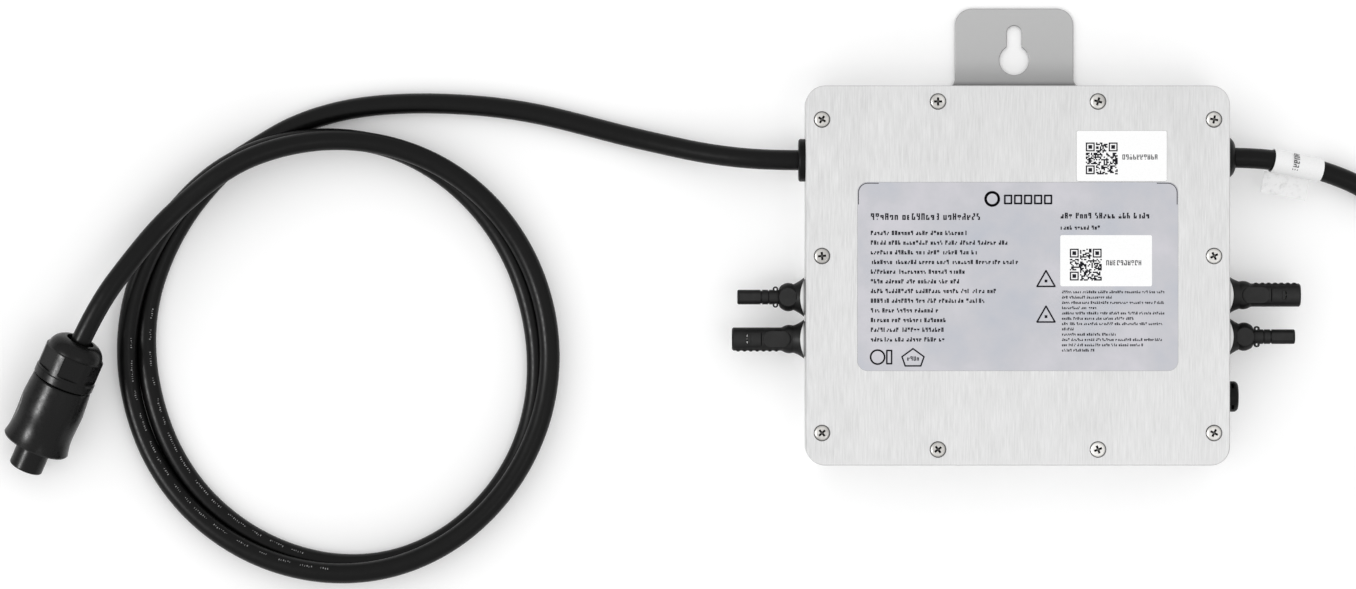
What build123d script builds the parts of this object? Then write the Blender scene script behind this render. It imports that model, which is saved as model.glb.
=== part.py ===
from build123d import *
from math import cos, pi, radians, sin, tan
import os

# Micro inverter lying on its back. Millimetres. +X is along the row of connectors, +Y is towards the
# hanging bracket, and +Z is out of the lid. The origin is the centre of the case's back face.

# Case
CASE_X = 212.0
CASE_Y = 190.0
CASE_Z = 40.0
CORNER_R = 9.5
WALL = 3.5
FLOOR = 5.0
LID_T = 3.0
TRAY_Z = CASE_Z - LID_T
LEDGE_W = 15.0
LEDGE_T = 5.0
WALL_X = CASE_X / 2
WALL_Y = CASE_Y / 2
INNER_X = WALL_X - WALL
INNER_Y = WALL_Y - WALL
PORT_Z = CASE_Z / 2
SMALL = 0.05

# Lid screws
SCREW_EDGE = 8.0
SCREW_TOP_X = 40.0
SCREW_SIDE_Y = (78.0, 9.75, -78.75)
SCREW_HEAD_R = 3.8
SCREW_HEAD_H = 1.7
SCREW_SHANK_R = 1.95
SCREW_SHANK_L = 12.0
SCREW_BORE_R = 2.0
SINK_R = 4.15
SINK_DEPTH = 0.6
CROSS_SPAN = 4.1
CROSS_ARM = 1.1
CROSS_DEPTH = 1.1
BOSS_R = 5.2
BOSS_BOTTOM = 24.0

# Gasket in a groove of the rim
GASKET_EDGE = 12.6
GASKET_W = 1.8
GASKET_T = 1.4

# Labels on the lid
LABEL_X = (-80.2, 80.0)
LABEL_Y = (-47.6, 46.6)
LABEL_R = 5.0
FILM_T = 0.15
UPPER_STICKER = (29.3, 74.4, 47.2, 72.4)
LOWER_STICKER = (21.1, 67.0, -5.4, 20.2)
STICKER_R = 1.0

# Hanging bracket: a tongue with a keyhole, on a wide foot let into the back of the case
BRACKET_T = 2.0
BRACKET_EDGE = 0.35
TONGUE_HALF = 29.9
TONGUE_TOP = 135.0
TONGUE_R = 8.4
FOOT_HALF = 46.0
FOOT_BOTTOM = 58.0
FOOT_R = 6.0
FLARE_R = 4.8
KEY_Y = 109.0
KEY_R = 7.5
NECK_R = 3.8
NECK_TOP_Y = 122.6
POCKET_GAP = 0.3
BRACKET_SCREW_X = 34.0
BRACKET_SCREW_Y = (66.0, 87.0)
BRACKET_HEAD_R = 3.9
BRACKET_HEAD_H = 1.7
BRACKET_SHANK_L = 9.0

# Lead cable and its two glands
CABLE_R = 5.1
GLAND_LEFT_Y = 58.0
GLAND_RIGHT_Y = 59.4
GLAND_FLANGE_R = 10.75
GLAND_FLANGE_T = 3.5
GLAND_DOME_R = 10.4
GLAND_DOME_T = 4.0
GLAND_NECK_R = 7.4
GLAND_NECK_L = 10.0
GLAND_NUT_FLAT = 19.0
GLAND_NUT_T = 4.5
CABLE_IN = WALL_X - 9.0

# Solar input connectors: two slim noses and two wide sockets
NOSE_LEFT_Y = -10.8
SOCKET_LEFT_Y = -31.9
SOCKET_RIGHT_Y = -9.8
NOSE_RIGHT_Y = -30.7
NOSE_R = 3.7
NOSE_L = 34.2
NOSE_START = 13.2
NOSE_CONTACT_L = 17.0
KEY_FLAT_Z = 3.3
NOSE_EDGE = 0.8
NOSE_GROOVES = ((21.7, 22.5), (18.2, 18.7))
NOSE_GROOVE_T = 0.5
EAR_D = 15.0
EAR_Y = 3.95
EAR_R = 1.4
EAR_HOLE_R = 0.6
EAR_HALF_H = 2.3
BADGE_D = 8.7
BADGE_R = 4.5
BADGE_Z = 6.75
SOCKET_R = 5.85
SOCKET_L = 36.9
SOCKET_MOUTH_R = 4.2
SOCKET_MOUTH_L = 5.9
SOCKET_BORE_R = 3.8
SOCKET_BORE_END = 16.0
PAD_D = (7.0, 21.2)
PAD_HALF_W = 4.0
PAD_Z = 5.65
BUMP_START = 14.6
BUMP_PITCH = 3.2
BUMPS = 7
BUMP_R = 1.4
BUMP_H = 0.45
BUMP_HALF_H = 2.2
FLARE_BASE_R = 9.75
FLARE_RIM = 0.8
SEAL_T = 0.6
SADDLE_R = 20.0
SEAL_R = 8.9
PORT_NECK_R = 6.0
PORT_NECK_L = 9.0
PORT_NUT_FLAT = 15.5
PORT_NUT_T = 4.0
PIN_R = 1.2
PIN_TIP = 30.5
ARM_ROOT = 22.4
ARM_TIP = 29.0
ARM_HALF_W = 3.4
ARM_INNER_R = 4.75
ARM_GAP = 0.25
ARM_ROOT_GAP = 0.6
ARCH_D = 24.6
ARCH_R = 5.1
BARB_L = 1.4
BARB_HALF_W = 2.0
BARB_H = 0.2

# Pressure vent
VENT_Y = -60.8
VENT_R = 7.7
VENT_L = 5.6
VENT_NECK_R = 5.9
VENT_NECK_L = 6.0
VENT_HOLLOW_R = 4.2
VENT_HOLLOW_END = 3.6
VENT_SLOT_D = (2.0, 3.2)
VENT_SLOT_HALF_W = 1.5
MEMBRANE_T = 0.4

# Cable plugs
NUT_R = 15.2
NUT_L = 23.0
NUT_BACK_R = 7.2
NUT_FLATS = 28.2
NUT_FLATS_TURN = 18.0
NUT_FLATS_D = (7.0, 17.6)
COLLAR_D = 18.4
COLLAR_R = 15.55
NUT_GAP = 0.6
BELL_START = NUT_L + NUT_GAP
BELL_R = 15.3
BELL_MOUTH_R = 17.15
BELL_L = 35.4
BELL_END = BELL_START + BELL_L
BELL_BORE_R = 14.4
MOUTH_DEPTH = 3.5
DENT_D = 20.0
DENT_DEPTH = 1.0
DENT_BALL_R = 42.0
DENT_TURN = 78.0
STUB_R = 8.65
STUB_L = 13.5
STUB_ROOT_R = 8.4
STUB_ROOT_L = 9.5
STUB_EDGE = 0.8
THREAD_R = 11.6
THREAD_L = 14.0
TAIL_SLEEVE_L = 3.1
TAIL_SLEEVE_R = 14.1
TAIL_MOUTH_R = 9.0
TAIL_MOUTH_L = 6.0
TAIL_BORE_R = 8.5
TAIL_BORE_DEPTH = 18.0
TAIL_BORE_START = BELL_END + TAIL_SLEEVE_L - TAIL_BORE_DEPTH
CORE_T = 2.5
TAIL_PIN_L = 11.5
CONTACT_PCD_R = 4.3
CONTACT_R = 1.25
SLEEVE_R = 1.58

# The lead's plug lies on its mouth's rim, and the stiff cable holds its back up
LEAD_PLUG = (-469.6, -32.6, 31.1)
LEAD_PLUG_TURN = -114.5
LEAD_PLUG_PITCH = 14.0
TAIL_PLUG = (216.5, -83.0, 17.0)
TAIL_PLUG_TURN = -90.0

# Routes of the cable's centre line
LEAD_ROUTE = [
    (-97.0, 58.0, 20.0),
    (-116.0, 58.0, 20.0),
    (-136.0, 58.9, 17.6),
    (-157.0, 61.7, 12.6),
    (-177.6, 66.2, 8.2),
    (-198.3, 71.0, 5.7),
    (-218.6, 76.4, 5.15),
    (-239.2, 81.5, 5.15),
    (-259.9, 84.9, 5.15),
    (-279.6, 86.6, 5.15),
    (-299.6, 87.2, 5.15),
    (-319.8, 86.4, 5.15),
    (-337.4, 84.0, 5.15),
    (-353.6, 79.7, 5.15),
    (-368.0, 73.8, 5.15),
    (-382.0, 65.4, 5.15),
]
END_ROUTE = [
    (-425.4, 30.5, 23.6),
    (-441.3, 11.6, 30.0),
    (-462.8, -17.6, 35.2),
    (-476.4, -47.6, 27.0),
]
TAIL_ROUTE = [
    (97.0, 59.4, 20.0),
    (119.0, 59.4, 20.0),
    (139.0, 56.9, 15.6),
    (157.5, 52.2, 10.2),
    (175.5, 45.0, 6.6),
    (192.5, 33.4, 5.2),
    (206.0, 17.0, 5.15),
    (213.8, -3.0, 5.15),
    (216.5, -24.4, 6.6),
    (216.5, -45.5, 12.4),
    (216.5, -65.5, 17.0),
    (216.5, -85.0, 17.0),
]

# Coil of the long lead: a loose ring of two turns
COIL_X = -341.6
COIL_Y = -40.6
COIL_OUTER = (112.0, 115.4)
COIL_INNER = (92.6, 101.2)
COIL_INNER_SHIFT = (1.6, 2.3)
COIL_H = 20.4
COIL_EDGE = 4.5

# White marker sleeve on the short lead, and its film tag
MARKER_IN_R = 5.6
MARKER_R = 5.95
MARKER_START = (128.9, 58.0, 17.7)
MARKER_END = (153.8, 53.1, 11.3)
TAG_X = 24.3
TAG_Y = 10.6
TAG_T = 0.3

# Circuit boards and what stands on them
BOARD_T = 1.6
BOARD_Z = 13.0
BOARD_TOP = BOARD_Z + BOARD_T
BOARD_X = 84.0
BOARD_Y = (-66.0, 72.0)
BOARD_CORNER = 3.0
POST_R = 3.6
POSTS = [(x, y) for x in (-78.0, 0.0, 78.0) for y in (-60.0, 34.0)]
BOARD_SCREW_R = 1.5
BOARD_HEAD_R = 2.8
BOARD_HEAD_H = 1.8
TRANSFORMER_PLACES = [(-30.0, -30.0), (22.0, -30.0)]
CORE = (36.0, 14.0, 18.0)
CORE_LEG = 5.0
CORE_WINDOW = (7.0, 12.0)
WINDING_GAP = 0.3
WINDING_OUT = 6.5
WINDING_R = 5.0
CAPACITOR_R = 8.0
CAPACITOR_H = 20.0
CAPACITOR_X = -66.0
CAPACITOR_Y = 8.0
CAPACITOR_PITCH = 19.0
FILM_CAPACITOR = (26.0, 10.0, 17.0)
FILM_CAPACITOR_PLACES = [(12.0, 24.0), (44.0, 24.0)]
RELAY = (19.0, 15.0, 15.0)
RELAY_PLACES = [(-34.0, 44.0), (-10.0, 44.0)]
SPREADER_HALF_X = 70.0
SPREADER_Y = -73.0
SPREADER_DEPTH = 7.0
SPREADER_TOP = 30.0
PAD_T = 0.5
TRANSISTOR_PITCH = 16.0
TRANSISTOR_HALF_W = 5.0
TRANSISTOR_T = 4.5
TRANSISTOR_Z = (15.5, 30.0)
CHOKE_PLACE = (52.0, 0.0, BOARD_TOP + 5.0)
CHOKE_R = 10.0
CHOKE_CORE_R = 3.4
CHOKE_WIRE_R = 0.65
CHOKE_TURNS = 14
FUSE_PLACE = (40.0, 48.0, BOARD_TOP + 4.0)
FUSE_R = 2.4
FUSE_HALF_L = 11.0
FUSE_CAP_R = 2.7
FUSE_CAP_L = 4.0
CONTROL_X = (24.0, 74.0)
CONTROL_Y = (37.0, 68.0)
CONTROL_Z = 33.4
CONTROL_T = 1.2
PILLAR_R = 2.0
PILLAR_X = (33.0, 66.0)
PILLAR_Y = (41.0, 64.0)
TERMINAL = (10.0, 18.0, 12.0)
TERMINAL_X = 76.0
TERMINAL_Y = 56.0
TERMINAL_PITCH = 5.2
TERMINAL_MOUTH_DEPTH = 3.5
CORE_GAP = 0.8
AC_CORE_R = 1.1
AC_CORE_PITCH = 2.6
DC_CORE_R = 1.7
DC_CORE_END = 78.0


def block(x0, x1, y0, y1, z0, z1):
    centre = ((x0 + x1) / 2, (y0 + y1) / 2, (z0 + z1) / 2)
    return Pos(*centre) * Box(x1 - x0, y1 - y0, z1 - z0)


def post(radius, x, y, z0, z1):
    return Pos(x, y, (z0 + z1) / 2) * Cylinder(radius, z1 - z0)


def rod(radius, d0, d1, y=0.0, z=0.0):
    """A cylinder along +X from d0 to d1."""
    return Pos((d0 + d1) / 2, y, z) * Rot(0, 90, 0) * Cylinder(radius, d1 - d0)


def rod_between(radius, start, end):
    direction = Vector(*end) - Vector(*start)
    middle = (Vector(*start) + Vector(*end)) * 0.5
    return Plane(origin=middle, z_dir=direction).location * Cylinder(radius, direction.length)


def plate(x0, x1, y0, y1, z0, z1, radius):
    sheet = Pos((x0 + x1) / 2, (y0 + y1) / 2, z0) * RectangleRounded(x1 - x0, y1 - y0, radius)
    return extrude(sheet, amount=z1 - z0)


def turned(start, *steps):
    """A solid of revolution about +X. A step is a point (distance, radius), a (via, end) arc, or a
    longer row of points on a smooth curve."""
    edges = []
    here = start
    for step in steps:
        if isinstance(step[0], tuple) and len(step) == 2:
            via, end = step
            edges.append(ThreePointArc(here, via, end))
        elif isinstance(step[0], tuple):
            end = step[-1]
            edges.append(Spline(here, *step))
        else:
            end = step
            edges.append(Line(here, end))
        here = end
    edges.append(Line(here, start))
    return revolve(make_face(edges), Axis.X, 360)


def hexagon(flats, d0, d1):
    """A hexagonal bar along +X."""
    bar = extrude(RegularPolygon(flats / 2, 6, major_radius=False), amount=d1 - d0)
    return Pos(d0, 0, 0) * Rot(0, 90, 0) * bar


def aim(shape, x, y, z, turn, pitch=0.0):
    """Place a shape made along +X at a port, turned about the vertical and pitched nose down."""
    return Pos(x, y, z) * Rot(0, 0, turn) * Rot(0, pitch, 0) * shape


def both_ways_up(shape):
    """A shape on the upper side and its copy on the lower side, half a turn about +X away."""
    return shape + Rot(180, 0, 0) * shape


def tube_along(route, radius, name):
    """A round cable along straight runs joined by tangent arcs."""
    points = [Vector(*p) for p in route]
    runs = [(b - a) for a, b in zip(points, points[1:])]
    arcs = []
    for before, after in zip(runs, runs[1:]):
        turn = radians(before.get_angle(after))
        arcs.append(0.45 * min(before.length, after.length) / tan(turn / 2))
    path = FilletPolyline(*points, radius=arcs)
    section = Plane(origin=points[0], z_dir=runs[0]) * Circle(radius)
    cable = sweep(section, path=path)
    print(name, "radii", [round(a) for a in arcs], "length", round(path.length, 1))
    print(name, "volume", round(cable.volume), "section x length", round(pi * radius**2 * path.length))
    return cable


def save(node, *shapes):
    shape = shapes[0] if len(shapes) == 1 else Compound(children=list(shapes))
    export_step(shape, f"parts/{node}.step")


# Places shared by several parts

def lid_screw_places():
    places = [(x, y) for x in (-SCREW_TOP_X, SCREW_TOP_X) for y in (WALL_Y - SCREW_EDGE, SCREW_EDGE - WALL_Y)]
    places += [(x, y) for x in (SCREW_EDGE - WALL_X, WALL_X - SCREW_EDGE) for y in SCREW_SIDE_Y]
    return places


def bracket_screw_places():
    return [(x, y) for x in (-BRACKET_SCREW_X, BRACKET_SCREW_X) for y in BRACKET_SCREW_Y]


PORTS = {
    "nose_left": (-WALL_X, NOSE_LEFT_Y, 180.0),
    "socket_left": (-WALL_X, SOCKET_LEFT_Y, 180.0),
    "socket_right": (WALL_X, SOCKET_RIGHT_Y, 0.0),
    "nose_right": (WALL_X, NOSE_RIGHT_Y, 0.0),
}
GLANDS = {
    "left": (-WALL_X, GLAND_LEFT_Y, 180.0),
    "right": (WALL_X, GLAND_RIGHT_Y, 0.0),
}


def at_port(shape, name):
    x, y, turn = PORTS[name]
    return aim(shape, x, y, PORT_Z, turn)


def at_gland(shape, name):
    x, y, turn = GLANDS[name]
    return aim(shape, x, y, PORT_Z, turn)


# Case

def housing():
    tray = plate(-WALL_X, WALL_X, -WALL_Y, WALL_Y, 0, TRAY_Z, CORNER_R)
    tray -= plate(-INNER_X, INNER_X, -INNER_Y, INNER_Y, FLOOR, TRAY_Z - LEDGE_T, CORNER_R - WALL)
    mouth_x = WALL_X - LEDGE_W
    mouth_y = WALL_Y - LEDGE_W
    tray -= plate(-mouth_x, mouth_x, -mouth_y, mouth_y, TRAY_Z - LEDGE_T, TRAY_Z, CORNER_R)
    tray -= gasket_ring()
    for x, y in lid_screw_places():
        tray += post(BOSS_R, x, y, BOSS_BOTTOM, TRAY_Z - LEDGE_T) & tray_envelope()
    for x, y in lid_screw_places():
        tray -= post(SCREW_BORE_R, x, y, TRAY_Z - SCREW_SHANK_L, TRAY_Z)
    for x, y in POSTS:
        tray += post(POST_R, x, y, FLOOR, BOARD_Z)
        tray -= post(BOARD_SCREW_R, x, y, FLOOR + 2, BOARD_Z)
    for x, y in bracket_screw_places():
        tray += post(BOSS_R, x, y, FLOOR, FLOOR + 7)
    tray -= bracket_sheet(0, BRACKET_T, POCKET_GAP)
    for x, y in bracket_screw_places():
        tray -= post(SCREW_BORE_R, x, y, 0, BRACKET_SHANK_L + 1)
    for name in PORTS:
        tray -= at_port(rod(PORT_NECK_R + 0.1, -WALL - 1, 1), name)
    for name in GLANDS:
        tray -= at_gland(rod(GLAND_NECK_R + 0.1, -WALL - 1, 1), name)
    tray -= aim(rod(VENT_NECK_R + 0.05, -WALL - 1, 1), WALL_X, VENT_Y, PORT_Z, 0)
    return tray


def tray_envelope():
    return plate(-WALL_X, WALL_X, -WALL_Y, WALL_Y, 0, TRAY_Z, CORNER_R)


def gasket_ring():
    x = WALL_X - GASKET_EDGE
    y = WALL_Y - GASKET_EDGE
    w = GASKET_W / 2
    outer = plate(-x - w, x + w, -y - w, y + w, TRAY_Z - GASKET_T, TRAY_Z, CORNER_R)
    return outer - plate(-x + w, x - w, -y + w, y - w, TRAY_Z - GASKET_T, TRAY_Z, CORNER_R - GASKET_W)


def lid():
    cover = plate(-WALL_X, WALL_X, -WALL_Y, WALL_Y, TRAY_Z, CASE_Z, CORNER_R)
    cover = chamfer(cover.faces().sort_by(Axis.Z)[-1].edges(), 0.35)
    for x, y in lid_screw_places():
        cover -= post(SCREW_BORE_R + 0.2, x, y, TRAY_Z, CASE_Z)
        cover -= post(SINK_R, x, y, CASE_Z - SINK_DEPTH, CASE_Z)
    return cover


def pan_screw(x, y, turn):
    seat = CASE_Z - SINK_DEPTH
    head = post(SCREW_HEAD_R, 0, 0, 0, SCREW_HEAD_H)
    head = fillet(head.faces().sort_by(Axis.Z)[-1].edges(), 1.1)
    for angle in (0, 90):
        arm = Rot(0, 0, angle) * Box(CROSS_SPAN, CROSS_ARM, 2 * CROSS_DEPTH)
        head -= Pos(0, 0, SCREW_HEAD_H) * arm
    head += post(SCREW_SHANK_R, 0, 0, -SCREW_SHANK_L, 0)
    return Pos(x, y, seat) * Rot(0, 0, turn) * head


def lid_screws():
    return [pan_screw(x, y, 37 * i % 90) for i, (x, y) in enumerate(lid_screw_places())]


def sticker(limits, z0):
    x0, x1, y0, y1 = limits
    return plate(x0, x1, y0, y1, z0, z0 + FILM_T, STICKER_R)


# Hanging bracket

def bracket_sheet(z0, z1, gap):
    """The bracket's outline as a solid. The gap widens it for the pocket that it lies in."""
    foot = plate(-FOOT_HALF - gap, FOOT_HALF + gap, FOOT_BOTTOM - gap, WALL_Y + 2 * gap, z0, z1, FOOT_R)
    square = block(-FOOT_HALF - gap, FOOT_HALF + gap, WALL_Y - 2 * FOOT_R, WALL_Y + gap / 10, z0, z1)
    return foot + square


def bracket():
    half = TONGUE_HALF
    tongue = plate(-half, half, WALL_Y - TONGUE_R - 2, TONGUE_TOP, 0, BRACKET_T, TONGUE_R)
    foot = bracket_sheet(0, BRACKET_T, 0) & block(-200, 200, 0, WALL_Y, 0, BRACKET_T)
    sheet = tongue + foot
    for side in (-1, 1):
        x = side * (half + FLARE_R / 2)
        corner = block(x - FLARE_R / 2, x + FLARE_R / 2, WALL_Y, WALL_Y + FLARE_R, 0, BRACKET_T)
        corner -= post(FLARE_R, side * (half + FLARE_R), WALL_Y + FLARE_R, 0, BRACKET_T)
        sheet += corner
    sheet -= post(KEY_R, 0, KEY_Y, 0, BRACKET_T)
    sheet -= block(-NECK_R, NECK_R, KEY_Y, NECK_TOP_Y, 0, BRACKET_T)
    sheet -= post(NECK_R, 0, NECK_TOP_Y, 0, BRACKET_T)
    for x, y in bracket_screw_places():
        sheet -= post(SCREW_BORE_R + 0.2, x, y, 0, BRACKET_T)
        sink = Cone(BRACKET_HEAD_R + 0.1, SCREW_BORE_R + 0.2, BRACKET_HEAD_H)
        sheet -= Pos(x, y, BRACKET_HEAD_H / 2) * sink
    top_edges = sheet.faces().sort_by(Axis.Z)[-1].edges().filter_by(lambda edge: edge.center().Y > WALL_Y + 1)
    return chamfer(top_edges, BRACKET_EDGE)


def bracket_screws():
    screws = []
    for x, y in bracket_screw_places():
        head = Pos(0, 0, BRACKET_HEAD_H / 2) * Cone(BRACKET_HEAD_R, SCREW_SHANK_R, BRACKET_HEAD_H)
        for angle in (0, 90):
            head -= Rot(0, 0, angle) * Box(CROSS_SPAN, CROSS_ARM, 2 * CROSS_DEPTH)
        head += post(SCREW_SHANK_R, 0, 0, BRACKET_HEAD_H, BRACKET_SHANK_L)
        screws.append(Pos(x, y, 0.02) * Rot(0, 0, x + y) * head)
    return screws


# Glands

def gland_neck():
    return rod(GLAND_NECK_R, -GLAND_NECK_L, 0)


def gland_flat():
    flange = fillet(rod(GLAND_FLANGE_R, 0, GLAND_FLANGE_T).faces().sort_by(Axis.X)[-1].edges(), 1.2)
    return flange + gland_neck() - rod(CABLE_R + SMALL, -GLAND_NECK_L, GLAND_FLANGE_T)


def gland_domed():
    dome = turned((0, 0), (0, GLAND_DOME_R), (0.8, GLAND_DOME_R),
                  ((2.2, 9.4), (GLAND_DOME_T, 6.4)), (GLAND_DOME_T, 0))
    return dome + gland_neck() - rod(CABLE_R + SMALL, -GLAND_NECK_L, GLAND_DOME_T)


def lock_nut(flats, thickness, bore):
    nut = hexagon(flats, -WALL - thickness, -WALL)
    return nut - rod(bore, -WALL - thickness, -WALL)


# Solar input connectors

def saddle():
    """The hollow space under the flare, between the wall and the curved base."""
    reach = 2 * SADDLE_R
    cutter = block(-0.5, 6, -reach, reach, -SADDLE_R + 0.5, SADDLE_R - 0.5)
    return cutter - Pos(SADDLE_R + SEAL_T, 0, 0) * Rot(90, 0, 0) * Cylinder(SADDLE_R, 2 * reach)


def port_neck():
    return rod(PORT_NECK_R, -PORT_NECK_L, SEAL_T + 1)


def nose_body():
    body = turned((0, 0), (0, FLARE_BASE_R), (FLARE_RIM, FLARE_BASE_R), ((3.2, 8.0), (6.0, 6.5)),
                  ((BADGE_D, 7.15), (11.2, 6.4)), ((12.4, 5.6), (NOSE_START, 4.4)), (NOSE_START, NOSE_R),
                  (NOSE_L - NOSE_EDGE, NOSE_R),
                  ((NOSE_L - 0.3 * NOSE_EDGE, NOSE_R - 0.3 * NOSE_EDGE), (NOSE_L, NOSE_R - NOSE_EDGE)),
                  (NOSE_L, 0))
    body = body - saddle() + port_neck()
    body += post(BADGE_R, BADGE_D, 0, -BADGE_Z, BADGE_Z)
    body -= both_ways_up(post(BADGE_R, BADGE_D, 0, BADGE_Z, 2 * BADGE_Z))
    body += block(EAR_D - EAR_R, EAR_D + EAR_R / 2, -EAR_Y, EAR_Y, -EAR_HALF_H, EAR_HALF_H)
    for y in (-EAR_Y, EAR_Y):
        body += post(EAR_R, EAR_D, y, -EAR_HALF_H, EAR_HALF_H)
        body -= post(EAR_HOLE_R, EAR_D, y, -EAR_HALF_H, EAR_HALF_H)
    for d0, d1 in NOSE_GROOVES:
        body -= rod(NOSE_R + 1, d0, d1) - rod(NOSE_R - NOSE_GROOVE_T, d0, d1)
    groove_end = NOSE_GROOVES[0][1]
    body -= block(groove_end, NOSE_L - NOSE_EDGE, -NOSE_R, NOSE_R, KEY_FLAT_Z, 2 * NOSE_R)
    return body - rod(PIN_R + 0.4, NOSE_L - NOSE_CONTACT_L, NOSE_L)


def nose_contact():
    inner_end = NOSE_L - NOSE_CONTACT_L
    sleeve = rod(PIN_R + 0.38, inner_end, NOSE_L - 2.5)
    return sleeve - rod(PIN_R + SMALL, inner_end + 2, NOSE_L - 2.5)


def arm_space(gap, root_gap):
    """The strip of the socket's wall, above the bore, that the upper latch arm fills."""
    width = ARM_HALF_W + gap
    return block(ARM_ROOT - root_gap, ARM_TIP, -width, width, ARM_INNER_R - gap, 2 * SOCKET_R)


def catch_window():
    """The opening ahead of the upper arm's tip, arched towards the mouth, down into the bore."""
    width = ARM_HALF_W + ARM_GAP
    ahead = block(ARM_TIP - SMALL, SOCKET_L, -width, width, 0, 2 * SOCKET_R)
    return ahead & post(ARCH_R, ARCH_D, 0, 0, 2 * SOCKET_R)


def thumb_pad(z0, z1):
    return plate(*PAD_D, -PAD_HALF_W, PAD_HALF_W, z0, z1, PAD_HALF_W - SMALL)


def socket_body():
    body = turned((0, 0), (0, FLARE_BASE_R), (FLARE_RIM, FLARE_BASE_R), ((3.2, 8.1), (6.2, 6.9)),
                  ((8.9, 7.1), (11.2, 6.3)), ((11.9, 5.95), (12.6, SOCKET_R)),
                  (SOCKET_L - 0.7, SOCKET_R), (SOCKET_L, SOCKET_R - 0.7), (SOCKET_L, 0))
    body = body - saddle() + port_neck() + thumb_pad(-PAD_Z, PAD_Z)
    body -= both_ways_up(thumb_pad(PAD_Z, 2 * PAD_Z))
    bump_y = SOCKET_R + BUMP_H - BUMP_R
    for i in range(BUMPS):
        body += post(BUMP_R, BUMP_START + BUMP_PITCH * i, bump_y, -BUMP_HALF_H, BUMP_HALF_H)
    body -= rod(SOCKET_BORE_R, SOCKET_BORE_END, SOCKET_L)
    body -= rod(SOCKET_MOUTH_R, SOCKET_L - SOCKET_MOUTH_L, SOCKET_L)
    body -= rod(PIN_R, SOCKET_BORE_END - 4, SOCKET_BORE_END)
    body -= both_ways_up(arm_space(ARM_GAP, ARM_ROOT_GAP))
    return body - both_ways_up(catch_window())


def latch_arm():
    """The upper arm, in the socket's wall, with a small barb at its tip."""
    ring = rod(SOCKET_R, ARM_ROOT, ARM_TIP) - rod(ARM_INNER_R + SMALL, ARM_ROOT, ARM_TIP)
    arm = ring & arm_space(0, 0)
    barb_top = SOCKET_R + BARB_H
    return arm + block(ARM_TIP - BARB_L, ARM_TIP, -BARB_HALF_W, BARB_HALF_W, SOCKET_R - 0.4, barb_top)


def port_seal():
    disc = rod(SEAL_R, 0, 4) & saddle()
    return disc - rod(PORT_NECK_R + SMALL, -1, 6)


# Pressure vent

def vent_cap():
    body = turned((0, 0), (0, VENT_R), (3.6, VENT_R), ((4.9, 7.0), (VENT_L, 5.4)), (VENT_L, 0))
    body += rod(VENT_NECK_R, -VENT_NECK_L, 0)
    body -= rod(VENT_HOLLOW_R, -VENT_NECK_L, VENT_HOLLOW_END)
    slot = block(*VENT_SLOT_D, -VENT_SLOT_HALF_W, VENT_SLOT_HALF_W, VENT_HOLLOW_R - 0.5, VENT_R + 1)
    for angle in (45, 135, 225, 315):
        body -= Rot(angle, 0, 0) * slot
    return body


# Cable plugs, made along +X with the nut's back at zero

def union_nut():
    nut = turned((0, NUT_BACK_R), ((1.6, 11.6), (6.5, 14.3)), (NUT_FLATS_D[0], NUT_R), (COLLAR_D, NUT_R),
                 (COLLAR_D + 0.6, COLLAR_R), (NUT_L - 0.5, COLLAR_R), (NUT_L, COLLAR_R - 0.45),
                 (NUT_L, THREAD_R + SMALL), (9.0, THREAD_R + SMALL), (6.0, NUT_BACK_R))
    flats = Rot(NUT_FLATS_TURN, 0, 0) * hexagon(NUT_FLATS, *NUT_FLATS_D)
    ends = rod(NUT_R + 1, -1, NUT_FLATS_D[0]) + rod(NUT_R + 1, NUT_FLATS_D[1], NUT_L + 1)
    return nut & (flats + ends)


def grommet():
    """The seal that the nut squeezes round the cable."""
    return turned((5.0, CABLE_R + SMALL), (5.0, 6.9), (6.0, 6.9), (8.7, 10.6), (8.7, CABLE_R + SMALL))


def bell_outline(mouth_r):
    """The shell's outside: a barrel, a slight waist, and a flare to its mouth."""
    barrel = ((BELL_START + 9, BELL_R + 0.8), (BELL_START + 17, BELL_R + 1.1),
              (BELL_START + 26, BELL_R + 0.65),
              (BELL_START + 31, (BELL_R + mouth_r) / 2 + 0.15), (BELL_END - 0.8, mouth_r))
    return turned((BELL_START, 0), (BELL_START, BELL_R - 0.5), (BELL_START + 0.6, BELL_R), barrel,
                  (BELL_END, mouth_r - 0.5), (BELL_END, 0))


def plug_thread():
    start = BELL_START - THREAD_L
    return rod(THREAD_R, start, BELL_START) - rod(CABLE_R + SMALL, start, BELL_START)


def finger_dents():
    """Two shallow oval hollows, one on each side of the shell."""
    height = BELL_R + 1.0 - DENT_DEPTH + DENT_BALL_R
    ball = Pos(BELL_START + DENT_D, 0, height) * Sphere(DENT_BALL_R)
    return Rot(DENT_TURN, 0, 0) * both_ways_up(ball)


def lead_plug_shell():
    shell = bell_outline(BELL_MOUTH_R) - finger_dents() + plug_thread()
    shell -= rod(BELL_BORE_R, BELL_END - MOUTH_DEPTH, BELL_END)
    return shell - rod(STUB_ROOT_R, BELL_END - STUB_ROOT_L, BELL_END)


def contact_places():
    return [(CONTACT_PCD_R * cos(radians(a)), CONTACT_PCD_R * sin(radians(a))) for a in (90, 210, 330)]


def lead_plug_stub():
    """The stub stands out of the mouth, on a root that is set in the shell."""
    stub = fillet(rod(STUB_R, BELL_END, BELL_END + STUB_L).faces().sort_by(Axis.X)[-1].edges(), STUB_EDGE)
    stub += rod(STUB_ROOT_R, BELL_END - STUB_ROOT_L, BELL_END)
    for y, z in contact_places():
        stub -= rod(SLEEVE_R + 0.02, BELL_END, BELL_END + STUB_L, y, z)
    return stub


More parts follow.
